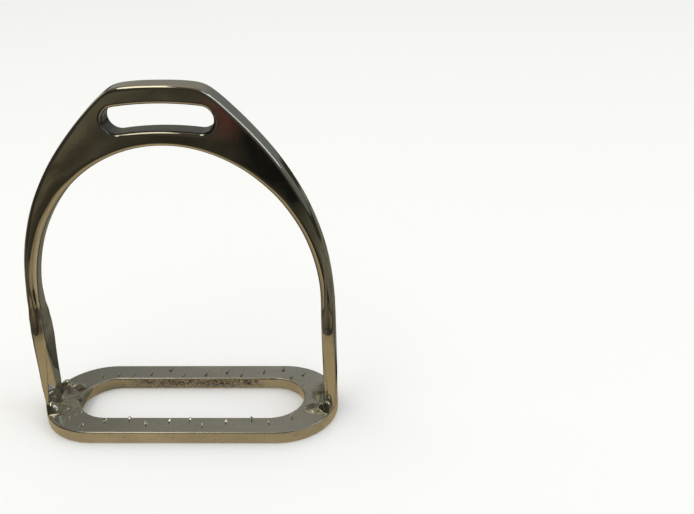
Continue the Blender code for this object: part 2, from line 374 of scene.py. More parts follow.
def eye_grid():
    """Rows of points from the slot's edge to the plate's outline, for the right half."""
    inner_join = crossing(INNER_LINE, math.radians(JOIN_DEGREES))
    outer_join = crossing(OUTER_LINE, math.radians(JOIN_DEGREES))
    share = np.linspace(0, 1, STRAIGHT_LINES + 1)
    top, top_normal = eye_side(share, 1)
    bottom, bottom_normal = eye_side(share[::-1], -1)
    across = strip(inner_join, outer_join, JOIN_DEGREES)[::-1]
    lengths = np.concatenate([[0], np.cumsum(np.hypot(*np.diff(across, axis=0).T))])
    upper_turn = np.linspace(90, 14, UPPER_LINES + 1)
    side_turn = 14 + (-58 - 14) * lengths / lengths[-1]
    lower_turn = np.linspace(-58, -90, LOWER_LINES + 1)
    end, end_normal = eye_edge(np.concatenate([upper_turn[1:], side_turn[1:], lower_turn[1:]]))
    edge = np.vstack([top, end, bottom[1:]])
    normal = np.vstack([top_normal, end_normal, bottom_normal[1:]])
    outer_x = OUTER_LINE[:, 0]
    first = np.vstack([[(0.0, TOP_Z)], cut_line(OUTER_LINE, 0.0, PLATE_CORNER, None)])
    corner = np.array([PLATE_CORNER, np.interp(PLATE_CORNER, outer_x[:420], OUTER_LINE[:420, 1])])
    first = np.vstack([first, corner])
    second = np.vstack([corner, cut_line(OUTER_LINE, PLATE_CORNER, outer_join[0], outer_join)])
    arch = INNER_LINE[:-1]
    arch_corner = np.array([ARCH_CORNER, np.interp(ARCH_CORNER, arch[:, 0], arch[:, 1])])
    third = np.vstack([arch_corner, cut_line(arch, ARCH_CORNER, inner_join[0], inner_join)])[::-1]
    fourth = np.vstack([[(0.0, ARCH_Z)], cut_line(arch, 0.0, ARCH_CORNER, arch_corner)])[::-1]
    border = np.vstack([
        resample(first, STRAIGHT_LINES),
        resample(second, UPPER_LINES)[1:],
        across[1:],
        resample(third, LOWER_LINES)[1:],
        resample(fourth, STRAIGHT_LINES)[1:],
    ])
    turns = np.linspace(0, math.pi / 2, EYE_ROWS + 1)
    rim = [edge + normal * EYE_RIM * (1 - math.cos(turn)) for turn in turns]
    start = rim[-1]
    run = np.hypot(*(border - start).T)
    edge_size = np.minimum(3.0, run * 0.45)
    rows = list(rim)
    for k in range(1, FACE_ROWS + 1):
        share = (k / FACE_ROWS) * (1 - edge_size / run)
        rows.append(start + share[:, None] * (border - start))
    for k in range(ROUND_ROWS - 1, -1, -1):
        turn = math.pi / 2 * k / ROUND_ROWS
        share = 1 - edge_size / run * (1 - math.cos(turn))
        rows.append(start + share[:, None] * (border - start))
    return np.array(rows)


def waviness(points, amount, size):
    """Slow unevenness left by forging and hand polishing."""
    return np.array([amount * noise.noise(Vector(point) / size) for point in points])


FACE_WAVES = [(0.040, 13.0), (0.008, 4.5)]         # depth and size of the face's slow waves


def plate_surface(flat, side):
    """Front (-1) or back (1) surface over points of the front view."""
    shape = flat.shape[:-1]
    points = flat.reshape(-1, 2)
    depth = half_depths(points)
    solid = np.stack([points[:, 0], side * depth, points[:, 1]], 1)
    for amount, size in FACE_WAVES:
        solid[:, 1] += waviness(solid, amount, size)
    return solid.reshape(*shape, 3)


def wall_rows(front, back):
    """Rows between the front and back edge of a wall, front edge first."""
    return np.array([front + (back - front) * k / WALL_ROWS for k in range(WALL_ROWS + 1)])


def build_bow():
    """The whole bow as one closed mesh of quads."""
    points = []
    faces = []

    def add(block):
        start = sum(len(p) for p in points)
        rows, columns = block.shape[:2]
        points.append(block.reshape(-1, 3))
        faces.extend(grid_faces(start, rows, columns))

    for side in (-1, 1):
        eye_flat = eye_grid() * np.array([side, 1.0])
        leg_flat = side_strips() * np.array([side, 1.0])
        surfaces = {}
        for face in (-1, 1):
            surfaces[face] = (plate_surface(eye_flat, face), plate_surface(leg_flat, face))
            add(surfaces[face][0])
            add(surfaces[face][1])
        eye_front, leg_front = surfaces[-1]
        eye_back, leg_back = surfaces[1]
        add(wall_rows(eye_front[0], eye_back[0]))
        border = eye_front.shape[1]
        section = leg_front.shape[1]
        top_end = STRAIGHT_LINES + UPPER_LINES
        arch_start = border - STRAIGHT_LINES - LOWER_LINES - 1
        add(wall_rows(eye_front[-1, :top_end + 1], eye_back[-1, :top_end + 1]))
        add(wall_rows(eye_front[-1, arch_start:], eye_back[-1, arch_start:]))
        add(wall_rows(leg_front[:, 0], leg_back[:, 0]))
        add(wall_rows(leg_front[:, section - 1], leg_back[:, section - 1]))
        foot = np.array([leg_front[-1] + (leg_back[-1] - leg_front[-1]) * k / WALL_ROWS
                         for k in range(WALL_ROWS + 1)])
        add(foot)
    return make_mesh("polished_bow", np.vstack(points), faces, 50)


# ---------------------------------------------------------------- the tread
TREAD_X = float(TREAD_HIGH[0])
TREAD_Y = float(TREAD_HIGH[1])
OPENING_X = 51.0
OPENING_Y = 15.15
TREAD_EDGE = 0.55
WORN_EDGE = 1.1                # extra rounding where the left front corner is worn
WORN_PLACE = -52.0             # its heading from the round end's centre and its reach, in degrees
WORN_REACH = 20.0
AROUND = 1400
TOP_ROWS = 52

# Places of the cut teeth on the two rails, and how far their tails lean. They were struck by hand.
FRONT_TEETH = [
    (-52.5, -16.5), (-48.5, -12.0), (-45.0, -21.0), (-35.5, -18.0), (-25.0, -16.5), (-17.0, -20.0),
    (-7.0, -18.0), (2.0, -17.0), (8.0, -21.0), (18.0, -18.5), (29.0, -16.5), (37.0, -19.0), (46.5, -15.0),
]
REAR_TEETH = [
    (-46.0, 17.0), (-38.5, 18.0), (-31.5, 17.0), (-23.0, 19.0), (-14.5, 22.5), (-7.5, 17.5), (3.0, 18.5),
    (13.0, 20.5), (20.0, 18.0), (30.5, 20.5), (39.5, 22.5), (44.0, 16.0), (49.5, 18.5),
]
TAIL_LENGTH = 2.7
TAIL_HALF_WIDTH = 0.25
TAIL_DEPTH = 0.36
TOOTH_RAMP = 1.1
TOOTH_DROP = 0.18
TOOTH_WIDTH = 1.5
TOOTH_HEIGHT = 0.85


def tooth_frames():
    """Place, direction towards the opening and size factor of each tooth."""
    teeth = []
    for index, (x, y) in enumerate(FRONT_TEETH + REAR_TEETH):
        reach = TREAD_X - TREAD_Y
        centre = np.array([np.clip(x, -reach, reach), 0.0])
        towards = centre - np.array([x, y])
        towards /= np.hypot(*towards)
        lean = 0.35 * noise.noise(Vector((index * 3.7, 1.3, 0.0)))
        turn = np.array([[math.cos(lean), -math.sin(lean)], [math.sin(lean), math.cos(lean)]])
        size = 1 + 0.3 * noise.noise(Vector((index * 2.9, 7.1, 0.0)))
        teeth.append((np.array([x, y]), turn @ towards, size))
    return teeth


def tail_depth(points):
    """How far the tails of the teeth cut into the tread's top."""
    cut = np.zeros(len(points))
    for place, towards, size in tooth_frames():
        away = points[:, :2] - place
        along = away @ towards / (TAIL_LENGTH * size)
        across = np.abs(away @ np.array([-towards[1], towards[0]])) / TAIL_HALF_WIDTH
        inside = (along < 0.05) & (along > -1) & (across < 1.6)
        deep = TAIL_DEPTH * size * (1 + along) * np.exp(-across ** 2 * 1.2)
        cut = np.where(inside, np.maximum(cut, deep), cut)
    return cut


def stadium(half_length, half_width, shares):
    """Points and outward normals; a share of 0 to 1 goes once round from the right rear."""
    reach = half_length - half_width
    points = []
    normals = []
    for share in shares:
        quarter = share * 4
        if quarter < 1 or 2 <= quarter < 3:
            side = 1 if quarter < 1 else -1
            local = quarter % 1
            points.append((side * reach * (1 - 2 * local), side * half_width))
            normals.append((0.0, side))
        else:
            start = math.pi / 2 if quarter < 2 else -math.pi / 2
            angle = start + math.pi * (quarter % 1)
            centre = -reach if quarter < 2 else reach
            points.append((centre + half_width * math.cos(angle), half_width * math.sin(angle)))
            normals.append((math.cos(angle), math.sin(angle)))
    return np.array(points), np.array(normals)


PECK_DEPTH = 0.30
PECK_REACH = 36.0


def pecks(points, height_share):
    """Rough file-cut hollows along the straight inner walls, fading out at the round ends."""
    depth = []
    for (x, y, z), share in zip(points, height_share):
        fade = np.clip((PECK_REACH - abs(x)) / 10.0, 0, 1) * np.clip(share * 3, 0, 1)
        fade *= np.clip((1 - share) * 6, 0, 1)
        coarse = noise.noise(Vector((x * 0.8, y * 0.3, z * 0.6)))
        fine = noise.noise(Vector((x * 1.9 + 11, y * 0.3, z * 1.7)))
        depth.append(fade * PECK_DEPTH * (0.2 + 2.4 * abs(coarse) + 3.2 * abs(fine)))
    return np.array(depth)


def worn_edge(normals):
    """Radius of the top outer edge all round the tread."""
    heading = np.degrees(np.arctan2(normals[:, 0], -normals[:, 1]))
    return TREAD_EDGE + WORN_EDGE * np.exp(-((heading - WORN_PLACE) / WORN_REACH) ** 2)


def build_tread():
    """The ring plate as one closed mesh of quads, its top cut by the teeth's tails."""
    shares = np.arange(AROUND) / AROUND
    inner, inner_normal = stadium(OPENING_X, OPENING_Y, shares)
    outer, outer_normal = stadium(TREAD_X, TREAD_Y, shares)
    worn = worn_edge(outer_normal)
    low = float(TREAD_LOW[2])
    rows = []
    turns = np.linspace(0, math.pi / 2, 4)

    def ring(flat, z):
        rows.append(np.column_stack([flat, np.full(len(flat), z)]))

    for turn in turns:
        ring(inner + inner_normal * TREAD_EDGE * (1 - math.sin(math.pi / 2 - turn)),
             TREAD_TOP - TREAD_EDGE * (1 - math.sin(turn)))
    start = inner + inner_normal * TREAD_EDGE
    end = outer - outer_normal * worn[:, None]
    for k in range(1, TOP_ROWS):
        ring(start + (end - start) * k / TOP_ROWS, TREAD_TOP)
    for turn in np.linspace(0, math.pi / 2, 7):
        ring(outer - outer_normal * worn[:, None] * (1 - math.sin(turn)),
             TREAD_TOP - worn * (1 - math.cos(turn)))
    end = outer - outer_normal * TREAD_EDGE
    for k in range(1, 4):
        z = TREAD_TOP - worn + (low + TREAD_EDGE - TREAD_TOP + worn) * k / 4
        ring(outer, z)
    for turn in turns[::-1]:
        ring(outer - outer_normal * TREAD_EDGE * (1 - math.sin(turn)),
             low + TREAD_EDGE * (1 - math.cos(turn)))
    for k in range(1, 5):
        ring(end + (start - end) * k / 5, low)
    for turn in turns[::-1]:
        ring(inner + inner_normal * TREAD_EDGE * (1 - math.cos(turn)),
             low + TREAD_EDGE * (1 - math.sin(turn)))
    wall = 16
    for k in range(1, wall):
        share = k / wall
        z = low + TREAD_EDGE + (TREAD_TOP - low - 2 * TREAD_EDGE) * share
        solid = np.column_stack([inner, np.full(AROUND, z)])
        depth = pecks(solid, np.full(AROUND, share))
        ring(inner + inner_normal * depth[:, None], z)
    rows = np.array(rows)
    top = rows[:, :, 2] > TREAD_TOP - 0.001
    flat = rows[top]
    flat[:, 2] -= tail_depth(flat)
    flat[:, 2] += waviness(flat, 0.02, 9.0)
    rows[top] = flat
    closed = np.concatenate([rows, rows[:1]])
    faces = grid_faces(0, len(closed), AROUND, closed=True)
    return make_mesh("ring_tread", closed.reshape(-1, 3), faces, 50)


def tooth_height(along, across):
    """Height of a chip: an even slope up, then a drop; rounded off across."""
    rise = np.clip(along / TOOTH_RAMP, 0, 1)
    drop = np.clip((along - TOOTH_RAMP) / TOOTH_DROP, 0, 1)
    return TOOTH_HEIGHT * rise * np.sqrt(1 - drop ** 2) * (1 - across ** 2) ** 0.7


def build_teeth():
    """The raised chips at the ends of the tails, which the chisel pushed towards the opening."""
    points = []
    faces = []
    along = np.concatenate([np.linspace(0, TOOTH_RAMP, 9), TOOTH_RAMP + TOOTH_DROP * np.linspace(0.25, 1, 5)])
    across = np.linspace(-1, 1, 13)
    for place, towards, size in tooth_frames():
        sideways = np.array([-towards[1], towards[0]])
        start = len(points)
        grid = [(u, v) for u in along for v in across]
        for u, v in grid:
            bow = 0.3 * TOOTH_RAMP * v * v
            spot = place + size * (towards * (u - bow) + sideways * v * TOOTH_WIDTH / 2)
            height = size * float(tooth_height(u, v))
            points.append((spot[0], spot[1], TREAD_TOP - 0.06 + height))
        faces += grid_faces(start, len(along), len(across))
        base = len(points)
        points += [(x, y, TREAD_TOP - 0.4) for x, y, _ in points[start:base]]
        faces += [face[::-1] for face in grid_faces(base, len(along), len(across))]
        for a, b in border_pairs(len(along), len(across)):
            faces.append((start + a, base + a, base + b, start + b))
    return make_mesh("tread_teeth", np.array(points), faces, 40)


# ---------------------------------------------------------------- the welds
# Each lump of weld metal: place (x, y), half length and half width, turn in degrees, height
LEFT_LUMPS = [
    (-61.6, -9.6, 4.0, 3.6, -15, 4.3),
    (-58.4, -8.0, 6.4, 4.6, 22, 2.7),
    (-55.2, -5.4, 6.2, 3.6, 46, 1.5),
    (-58.6, -2.0, 3.6, 5.5, 0, 1.2),
    (-59.6, 1.5, 1.9, 8.5, 0, 1.9),
    (-56.6, 8.6, 3.8, 2.6, 12, 1.4),
    (-60.8, 10.2, 3.2, 2.6, 0, 2.6),
]
LEFT_PITS = [(-51.9, -2.4, 1.1, 0.9), (-55.6, -0.8, 1.6, 0.4), (-53.7, 6.8, 1.7, 0.7), (-57.2, 3.6, 1.8, 0.4)]
RIGHT_LUMPS = [
    (62.0, -9.2, 2.7, 3.2, 35, 4.7),
    (59.9, -7.6, 2.8, 3.4, 20, 3.2),
    (57.4, -8.2, 3.4, 2.6, 30, 0.9),
    (59.8, -1.0, 1.3, 8.0, 0, 1.5),
    (55.4, -9.4, 3.0, 1.3, -32, 0.3),
    (57.6, 3.4, 2.0, 3.8, 0, 0.4),
    (60.8, 9.6, 2.6, 2.6, 0, 2.4),
]
RIGHT_PITS = [(56.4, -8.4, 1.4, 0.35), (57.2, 2.4, 1.1, 0.3), (52.4, -8.2, 0.8, 0.25)]
WELD_STEP = 0.22
WELD_BLEND = 0.6
WELD_SINK = 0.45               # the blob's skirt goes this far under the tread's top
WELD_LUMPS = 0.08
WELD_INSET = 0.05              # the blob stays this far inside the tread's outline


def weld_height(flat, lumps, pits, seed):
    """Height over the tread of overlapping lumps, with pits and an uneven skin."""
    total = np.full(len(flat), math.exp(-WELD_SINK / WELD_BLEND))
    for x, y, length, width, turn, height in lumps:
        angle = math.radians(turn)
        away = flat - (x, y)
        along = away @ (math.cos(angle), math.sin(angle)) / length
        across = away @ (-math.sin(angle), math.cos(angle)) / width
        inside = 1 - np.hypot(along, across) ** 2
        rise = height * np.sign(inside) * np.abs(inside) ** 0.9
        total = total + np.exp(np.clip(rise, -2.0, None) / WELD_BLEND)
    height = WELD_BLEND * np.log(total)
    for x, y, size, depth in pits:
        height = height - depth * np.exp(-((flat - (x, y)) ** 2).sum(1) / size ** 2 * 2)
    skin = np.array([noise.noise(Vector((x * 0.55, y * 0.55, seed))) for x, y in flat])
    fine = np.array([noise.noise(Vector((x * 1.5, y * 1.5, seed + 9))) for x, y in flat])
    strength = np.clip(height + WELD_SINK, 0, 1.2) / 1.2
    return height + strength * WELD_LUMPS * (skin + 0.2 * fine)


def build_weld(name, lumps, pits, seed):
    """A closed blob: its top is the height field, its bottom lies inside the tread."""
    reach = np.array([(abs(x), abs(y), max(a, b)) for x, y, a, b, _, _ in lumps])
    side = math.copysign(1, lumps[0][0])
    x_low = min(abs(row[0]) - row[2] for row in lumps) - 0.5
    x_count = int((OUTER_X - x_low) / WELD_STEP) + 1
    y_high = float((reach[:, 1] + reach[:, 2]).max()) + 0.4
    y_count = int(2 * y_high / WELD_STEP) + 1
    share, y = np.meshgrid(np.arange(x_count) / (x_count - 1),
                           -y_high + 2 * y_high * np.arange(y_count) / (y_count - 1), indexing="ij")
    x_high = OUTER_X - TREAD_TURN + np.sqrt((TREAD_TURN - WELD_INSET) ** 2 - y ** 2)
    flat = np.stack([side * (x_low + (x_high - x_low) * share), y], -1).reshape(-1, 2)
    height = weld_height(flat, lumps, pits, seed)
    over = np.hypot(np.clip(np.abs(flat[:, 0]) - (OUTER_X - TREAD_TURN), 0, None), flat[:, 1])
    room = TREAD_TURN - WELD_INSET - over
    height = np.minimum(height, 5.0 * np.sqrt(np.clip(room, 0, None)) - WELD_SINK)
    hole = np.hypot(np.clip(np.abs(flat[:, 0]) - (OPENING_X - OPENING_Y), 0, None), flat[:, 1])
    height = np.minimum(height, 2.0 * (hole - OPENING_Y) - 0.6)
    height = np.maximum(height, -WELD_SINK)
    top = np.column_stack([flat, TREAD_TOP + height])
    low = np.column_stack([flat, np.full(len(flat), TREAD_TOP - WELD_SINK - 0.6)])
    faces = grid_faces(0, x_count, y_count)
    faces += [face[::-1] for face in grid_faces(len(top), x_count, y_count)]
    for a, b in border_pairs(x_count, y_count):
        faces.append((a, len(top) + a, len(top) + b, b))
    return make_mesh(name, np.vstack([top, low]), faces, 60)


# ---------------------------------------------------------------- materials
def new_material(name):
    material = bpy.data.materials.new(name)
    material.use_nodes = True
    return material, material.node_tree.nodes, material.node_tree.links


def node(nodes, kind, **values):
    made = nodes.new(kind)
    for key, value in values.items():
        if key in made.inputs:
            made.inputs[key].default_value = value
        else:
            setattr(made, key, value)
    return made


def noise_node(nodes, links, source, scale, detail=4.0, stretch=None):
    """A noise texture in object space, stretched along an axis where asked."""
    mapping = node(nodes, "ShaderNodeMapping")
    if stretch:
        mapping.inputs["Scale"].default_value = stretch
    links.new(source, mapping.inputs["Vector"])
    texture = node(nodes, "ShaderNodeTexNoise", Scale=scale, Detail=detail)
    links.new(mapping.outputs["Vector"], texture.inputs["Vector"])
    return texture.outputs["Fac"]


def ramp(nodes, links, source, low, high, low_value, high_value):
    """Maps low..high of a value to low_value..high_value, held at the ends."""
    made = node(nodes, "ShaderNodeMapRange")
    made.inputs["From Min"].default_value = low
    made.inputs["From Max"].default_value = high
    made.inputs["To Min"].default_value = low_value
    made.inputs["To Max"].default_value = high_value
    links.new(source, made.inputs["Value"])
    return made.outputs["Result"]


def blend_colour(nodes, links, factor, first, second):
    made = node(nodes, "ShaderNodeMix", data_type="RGBA")
    links.new(factor, made.inputs["Factor"])
    colour_a, colour_b = [s for s in made.inputs if s.type == "RGBA"]
    for socket, value in ((colour_a, first), (colour_b, second)):
        if isinstance(value, tuple):
            socket.default_value = (*value, 1.0)
        else:
            links.new(value, socket)
    return [s for s in made.outputs if s.type == "RGBA"][0]


def add_bump(nodes, links, height, distance, strength, under=None):
    made = node(nodes, "ShaderNodeBump", Distance=distance, Strength=strength)
    links.new(height, made.inputs["Height"])
    if under is not None:
        links.new(under, made.inputs["Normal"])
    return made.outputs["Normal"]


def math_node(nodes, links, operation, first, second):
    made = node(nodes, "ShaderNodeMath", operation=operation)
    for socket, value in zip(made.inputs, (first, second)):
        if isinstance(value, (int, float)):
            socket.default_value = value
        else:
            links.new(value, socket)
    return made.outputs["Value"]


def slot_shade_mask(nodes, links, where):
    """1 inside the slot, whose walls are made rougher and darkened with painted shade."""
    split = node(nodes, "ShaderNodeSeparateXYZ")
    links.new(where, split.inputs["Vector"])
    x, z = split.outputs["X"], split.outputs["Z"]
    sag = math_node(nodes, links, "MULTIPLY", math_node(nodes, links, "MULTIPLY", x, x), 0.5 / (EYE_ARC * MM))
    rise = math_node(nodes, links, "ADD", math_node(nodes, links, "SUBTRACT", z, EYE_CENTRE * MM), sag)
    sideways = math_node(nodes, links, "ABSOLUTE", x, 0.0)
    beyond = math_node(nodes, links, "SUBTRACT", sideways, (EYE_LENGTH - EYE_HEIGHT) / 2 * MM)
    beyond = math_node(nodes, links, "MAXIMUM", beyond, 0.0)
    squares = math_node(nodes, links, "ADD", math_node(nodes, links, "MULTIPLY", beyond, beyond),
                        math_node(nodes, links, "MULTIPLY", rise, rise))
    away = math_node(nodes, links, "SQRT", squares, 0.0)
    edge = EYE_HEIGHT / 2 * MM
    return ramp(nodes, links, away, edge + 0.2 * MM, edge + 0.6 * MM, 1.0, 0.0)


def polished_metal():
    """Bright polished metal: hairline scratches, faint smudges and tiny pits, with painted shade in the slot
    and the scoops.
    """
    material, nodes, links = new_material("polished_metal")
    shader = nodes["Principled BSDF"]
    shader.inputs["Metallic"].default_value = 1.0
    where = node(nodes, "ShaderNodeTexCoord").outputs["Object"]
    smudge = noise_node(nodes, links, where, 55.0, 5.0)
    cloud = noise_node(nodes, links, where, 190.0, 6.0)
    hair = noise_node(nodes, links, where, 900.0, 2.0, (0.18, 1.0, 1.0))
    cross = noise_node(nodes, links, where, 1100.0, 2.0, (1.0, 1.0, 0.12))
    pits = noise_node(nodes, links, where, 620.0, 1.0)
    colour = blend_colour(nodes, links, ramp(nodes, links, smudge, 0.35, 0.7, 0.0, 1.0),
                          (0.60, 0.575, 0.515), (0.53, 0.50, 0.44))
    # Heat stains round the welds, and painted shade in the scoops, darken the colour.
    stain = math_node(nodes, links, "MULTIPLY", stain_mask(nodes, links, where, BOW_STAINS_AND_SCOOP_SHADE), 0.8)
    colour = blend_colour(nodes, links, stain, colour, (0.10, 0.08, 0.055))
    # Painted shade: the slot's walls are darkened, and below they are also made rougher.
    inside = slot_shade_mask(nodes, links, where)
    colour = blend_colour(nodes, links, inside, colour, (0.15, 0.145, 0.135))
    links.new(colour, shader.inputs["Base Color"])
    rough = math_node(nodes, links, "ADD",
                      ramp(nodes, links, smudge, 0.4, 0.75, 0.045, 0.11),
                      ramp(nodes, links, cloud, 0.5, 0.8, 0.0, 0.07))
    rough = math_node(nodes, links, "ADD", rough, ramp(nodes, links, inside, 0.0, 1.0, 0.0, 0.14))
    rough = math_node(nodes, links, "ADD", rough, ramp(nodes, links, stain, 0.0, 0.6, 0.0, 0.30))
    links.new(rough, shader.inputs["Roughness"])
    scratches = math_node(nodes, links, "ADD",
                          ramp(nodes, links, hair, 0.60, 0.72, 0.0, 1.0),
                          ramp(nodes, links, cross, 0.62, 0.74, 0.0, 1.0))
    streaks = noise_node(nodes, links, where, 260.0, 3.0, (0.22, 1.0, 1.0))
    normal = add_bump(nodes, links, streaks, 0.00003, 0.10)
    normal = add_bump(nodes, links, scratches, 0.00002, 0.14, normal)
    normal = add_bump(nodes, links, ramp(nodes, links, pits, 0.70, 0.80, 1.0, 0.0), 0.00003, 0.25, normal)
    links.new(normal, shader.inputs["Normal"])
    return material


# place (x, y, z), reach and strength of each dark heat stain
TREAD_STAINS = [
    (-60.6, 4.5, TREAD_TOP, 6.0, 1.0),
    (-53.6, 7.4, TREAD_TOP, 2.7, 1.0),
    (-51.9, -2.2, TREAD_TOP, 1.4, 1.0),
    (-57.2, -12.2, TREAD_TOP, 2.4, 0.8),
    (-58.5, -2.0, TREAD_TOP, 3.0, 0.5),
    (58.6, 3.6, TREAD_TOP, 4.4, 1.0),
    (55.0, -8.0, TREAD_TOP, 2.6, 1.0),
    (58.0, -11.2, TREAD_TOP, 2.2, 0.9),
    (52.4, -7.4, TREAD_TOP, 1.0, 0.7),
]
BOW_STAINS_AND_SCOOP_SHADE = [
    (-60.3, 5.0, 6.0, 11.0, 0.85),
    (60.3, 1.0, 6.0, 10.0, 0.8),
]
# The scoops, on both faces, are made rougher than the rest of the bow and darkened with painted shade.
BOW_STAINS_AND_SCOOP_SHADE += [(side * 63.4, face * 5.0, 48.5, 9.0, strength)
               for side, strength in ((-1, 0.6), (1, 0.45)) for face in (-1, 1)]


def stain_mask(nodes, links, where, stains):
    """Dark heat stains round the welds, with a ragged edge; the bow's list also holds painted shade in the
    scoops.
    """
    ragged = noise_node(nodes, links, where, 260.0, 5.0)
    total = None
    for x, y, z, size, strength in stains:
        away = node(nodes, "ShaderNodeVectorMath", operation="DISTANCE")
        links.new(where, away.inputs[0])
        away.inputs[1].default_value = (x * MM, y * MM, z * MM)
        edge = math_node(nodes, links, "ADD", away.outputs["Value"],
                         ramp(nodes, links, ragged, 0.3, 0.7, -0.0022, 0.0022))
        spot = ramp(nodes, links, edge, size * 0.3 * MM, size * MM, strength, 0.0)
        total = spot if total is None else math_node(nodes, links, "MAXIMUM", total, spot)
    return total


def satin_metal():
    """The tread: the same metal, rubbed to a satin grey, smudged and stained by the welds, with painted shade
    in the tails' grooves.
    """
    material, nodes, links = new_material("satin_metal")
    shader = nodes["Principled BSDF"]
    shader.inputs["Metallic"].default_value = 1.0
    where = node(nodes, "ShaderNodeTexCoord").outputs["Object"]
    smudge = noise_node(nodes, links, where, 85.0, 6.0, (0.55, 1.0, 1.0))
    grain = noise_node(nodes, links, where, 1500.0, 3.0, (0.22, 1.0, 1.0))
    mottle = noise_node(nodes, links, where, 480.0, 5.0)
    colour = blend_colour(nodes, links, ramp(nodes, links, smudge, 0.35, 0.68, 0.0, 1.0),
                          (0.63, 0.615, 0.58), (0.49, 0.475, 0.44))
    colour = blend_colour(nodes, links, ramp(nodes, links, mottle, 0.60, 0.72, 0.0, 0.45),
                          colour, (0.24, 0.22, 0.19))
    stain = math_node(nodes, links, "MULTIPLY", stain_mask(nodes, links, where, TREAD_STAINS), 0.85)
    colour = blend_colour(nodes, links, stain, colour, (0.08, 0.055, 0.04))
    split = node(nodes, "ShaderNodeSeparateXYZ")
    links.new(where, split.inputs["Vector"])
    turned = node(nodes, "ShaderNodeSeparateXYZ")
    links.new(node(nodes, "ShaderNodeNewGeometry").outputs["Normal"], turned.inputs["Vector"])
    # Painted shade: up-facing surfaces sunk below the tread's top, in the tails' grooves and where the edges
    # start to round off, are darkened.
    flat = ramp(nodes, links, turned.outputs["Z"], 0.55, 0.8, 0.0, 1.0)
    top = TREAD_TOP * MM
    low = ramp(nodes, links, split.outputs["Z"], top - 0.20 * MM, top - 0.05 * MM, 0.7, 0.0)
    painted_groove_shade = math_node(nodes, links, "MULTIPLY", low, flat)
    colour = blend_colour(nodes, links, painted_groove_shade, colour, (0.05, 0.045, 0.035))
    links.new(colour, shader.inputs["Base Color"])
    rough = math_node(nodes, links, "ADD",
                      ramp(nodes, links, smudge, 0.3, 0.75, 0.17, 0.30),
                      ramp(nodes, links, mottle, 0.55, 0.8, 0.0, 0.10))
    raised = ramp(nodes, links, split.outputs["Z"], top + 0.02 * MM, top + 0.20 * MM, 1.0, 0.45)
    rough = math_node(nodes, links, "MULTIPLY", rough, raised)
    rough = math_node(nodes, links, "ADD", rough, ramp(nodes, links, stain, 0.0, 0.8, 0.0, 0.18))
    links.new(rough, shader.inputs["Roughness"])
    normal = add_bump(nodes, links, grain, 0.00001, 0.05)
    normal = add_bump(nodes, links, mottle, 0.00003, 0.05, normal)
    beside = math_node(nodes, links, "SUBTRACT",
                       math_node(nodes, links, "ABSOLUTE", split.outputs["Y"], 0.0), OPENING_Y * MM)
    pecked = math_node(nodes, links, "MULTIPLY",
                       ramp(nodes, links, beside, 0.7 * MM, 1.0 * MM, 1.0, 0.0),
                       ramp(nodes, links, split.outputs["Z"], top - 0.9 * MM, top - 0.5 * MM, 1.0, 0.0))
    sideways = math_node(nodes, links, "ABSOLUTE", split.outputs["X"], 0.0)
    pecked = math_node(nodes, links, "MULTIPLY", pecked,
                       ramp(nodes, links, sideways, (PECK_REACH - 8) * MM, (PECK_REACH + 4) * MM, 1.0, 0.0))
    grains = noise_node(nodes, links, where, 1300.0, 2.0, (0.8, 1.0, 1.0))
    height = math_node(nodes, links, "MULTIPLY", grains, pecked)
    normal = add_bump(nodes, links, height, 0.0006, 0.9, normal)
    links.new(normal, shader.inputs["Normal"])
    return material


def weld_metal():
    """Weld metal: brighter and darker patches at random, dark heat stains, and a rippled skin."""
    material, nodes, links = new_material("weld_metal")
    shader = nodes["Principled BSDF"]
    shader.inputs["Metallic"].default_value = 1.0
    where = node(nodes, "ShaderNodeTexCoord").outputs["Object"]
    patch = noise_node(nodes, links, where, 150.0, 5.0)
    skin = noise_node(nodes, links, where, 700.0, 4.0)
    colour = blend_colour(nodes, links, ramp(nodes, links, patch, 0.38, 0.66, 0.0, 1.0),
                          (0.60, 0.59, 0.50), (0.34, 0.32, 0.25))
    stain = math_node(nodes, links, "MULTIPLY", stain_mask(nodes, links, where, TREAD_STAINS), 0.7)
    colour = blend_colour(nodes, links, stain, colour, (0.09, 0.06, 0.045))
    links.new(colour, shader.inputs["Base Color"])
    rough = math_node(nodes, links, "ADD",
                      ramp(nodes, links, patch, 0.40, 0.7, 0.09, 0.26),
                      ramp(nodes, links, stain, 0.0, 0.6, 0.0, 0.30))
    links.new(rough, shader.inputs["Roughness"])
    links.new(add_bump(nodes, links, skin, 0.00003, 0.15), shader.inputs["Normal"])
    return material


# ---------------------------------------------------------------- stage, light and camera
CAMERA_PLACE = (0.0835, -0.3253, 0.2362)
CAMERA_HEADING = 2.06          # degrees, turned towards -X
CAMERA_PITCH = 26.13           # degrees, looking down
CAMERA_ROLL = -1.20
CAMERA_LENS = 45.0             # on a 36 mm wide sensor


def build_camera():
    camera = bpy.data.objects.new("camera", bpy.data.cameras.new("camera"))
    camera.data.lens = CAMERA_LENS
    camera.data.sensor_width = 36.0
    camera.data.clip_start = 0.01
    turn = Matrix.Rotation(math.radians(CAMERA_HEADING), 4, "Z")
    tilt = Matrix.Rotation(math.radians(90 - CAMERA_PITCH), 4, "X")
    roll = Matrix.Rotation(math.radians(CAMERA_ROLL), 4, "Z")
    camera.matrix_world = Matrix.Translation(CAMERA_PLACE) @ turn @ tilt @ roll
    bpy.context.scene.collection.objects.link(camera)
    bpy.context.scene.camera = camera
